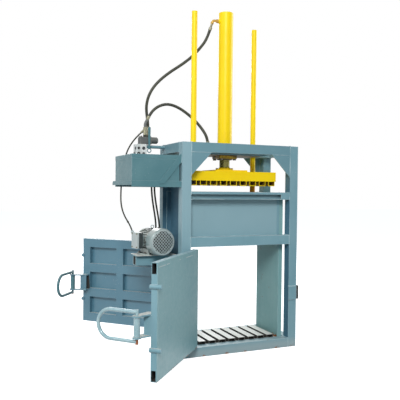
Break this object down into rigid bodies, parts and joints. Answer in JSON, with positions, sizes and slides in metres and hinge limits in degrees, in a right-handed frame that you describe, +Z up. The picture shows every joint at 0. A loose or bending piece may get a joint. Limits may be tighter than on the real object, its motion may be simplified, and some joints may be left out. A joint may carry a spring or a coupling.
{
  "type": "vertical recycling baler",
  "caption": "Upright hydraulic baling press with a tube frame, slatted platen and floor, front and rear doors with latch handles, and a side tank, motor and hand valve.",
  "frame": {"origin": "on the floor, in the middle of the rectangular tube frame", "axes": "+Z up, +X to the right along the front, +Y to the back"},
  "size_m": [1.9502, 2.0442, 2.922],
  "materials": {
    "frame_paint": "satin blue-grey paint with dust, scratches and rust at the foot",
    "press_paint": "glossy yellow paint",
    "slat_steel": "bare rolled steel, worn bright on top",
    "rod_chrome": "chromed and oiled",
    "motor_paint": "light grey enamel",
    "hose_rubber": "matt black hose cover",
    "zinc_plate": "zinc plated",
    "brass": "dull machined",
    "valve_iron": "cast, grey primer",
    "bolt_steel": "oily black oxide"
  },
  "bodies": {
    "frame": {"base_beam_front": "frame_paint", "base_beam_left": "frame_paint", "base_beam_rear": "frame_paint", "base_beam_right": "frame_paint", "chamber_wall_left": "frame_paint", "chamber_wall_right": "frame_paint", "cross_beam_front": "frame_paint", "cross_beam_rear": "frame_paint", "cylinder_barrel": "press_paint", "cylinder_flange": "press_paint", "cylinder_flange_bolts": "bolt_steel", "cylinder_gland": "valve_iron", "cylinder_head_frame": "frame_paint", "cylinder_port_elbows": "brass", "fan_cowl": "motor_paint", "feed_panel_front": "frame_paint", "feed_panel_rear": "frame_paint", "feed_rail_front": "frame_paint", "feed_rail_rear": "frame_paint", "gear_pump": "motor_paint", "guide_sleeve_left": "frame_paint", "guide_sleeve_right": "frame_paint", "hand_valve": "valve_iron", "hose_lower": "hose_rubber", "hose_stem": "zinc_plate", "hose_upper": "hose_rubber", "motor_body": "motor_paint", "motor_cable": "hose_rubber", "motor_support": "frame_paint", "oil_tank": "frame_paint", "post_front_left": "frame_paint", "post_front_right": "frame_paint", "post_rear_left": "frame_paint", "post_rear_right": "frame_paint", "return_hose": "hose_rubber", "slatted_floor": "slat_steel", "spring_cap": "valve_iron", "suction_hose": "hose_rubber", "tank_bracket": "frame_paint", "tank_lid": "frame_paint", "terminal_box": "motor_paint", "top_beam_front": "frame_paint", "top_beam_left": "frame_paint", "top_beam_rear": "frame_paint", "top_beam_right": "frame_paint", "valve_manifold": "zinc_plate", "valve_port_fittings": "zinc_plate"},
    "platen": {"platen": "press_paint", "piston_rod": "rod_chrome", "rod_flange": "press_paint", "guide_rod_left": "press_paint", "guide_rod_right": "press_paint"},
    "front_door": {"door_frame_front": "frame_paint", "door_skin_front": "frame_paint"},
    "rear_door": {"door_frame_rear": "frame_paint", "door_skin_rear": "frame_paint"},
    "front_latch_handle": {"latch_handle_front": "frame_paint"},
    "rear_latch_handle": {"latch_handle_rear": "frame_paint"},
    "valve_lever": {"valve_lever": "frame_paint"},
    "motor_fan": {"motor_fan": "valve_iron"}
  },
  "joints": [
    {"name": "platen_press", "type": "slide", "parent": "frame", "child": "platen", "axis": [0, 0, -1], "range_m": [0, 1]},
    {"name": "front_door_swing", "type": "hinge", "parent": "frame", "child": "front_door", "pos_m": [-0.461, -0.287, 0], "axis": [0, 0, 1], "range_deg": [-30, 130.2]},
    {"name": "rear_door_swing", "type": "hinge", "parent": "frame", "child": "rear_door", "pos_m": [-0.461, 0.287, 0], "axis": [0, 0, 1], "range_deg": [-134.7, 25]},
    {"name": "front_latch_turn", "type": "hinge", "parent": "front_door", "child": "front_latch_handle", "pos_m": [-1.13321, -0.99415, 0.476], "axis": [0, 0, 1], "range_deg": [-77, 68]},
    {"name": "rear_latch_turn", "type": "hinge", "parent": "rear_door", "child": "rear_latch_handle", "pos_m": [-1.18662, 0.93922, 0.476], "axis": [0, 0, 1], "range_deg": [-69, 76]},
    {"name": "valve_lever_tilt", "type": "hinge", "parent": "frame", "child": "valve_lever", "pos_m": [-0.702, 0.107, 1.794], "axis": [0, 1, 0], "range_deg": [-12, 12], "stiffness_Nm_per_rad": 3},
    {"name": "motor_spin", "type": "hinge", "parent": "frame", "child": "motor_fan", "pos_m": [-0.69, 0.04, 0.938], "axis": [-0.1736, 0.9848, 0], "continuous": true}
  ]
}
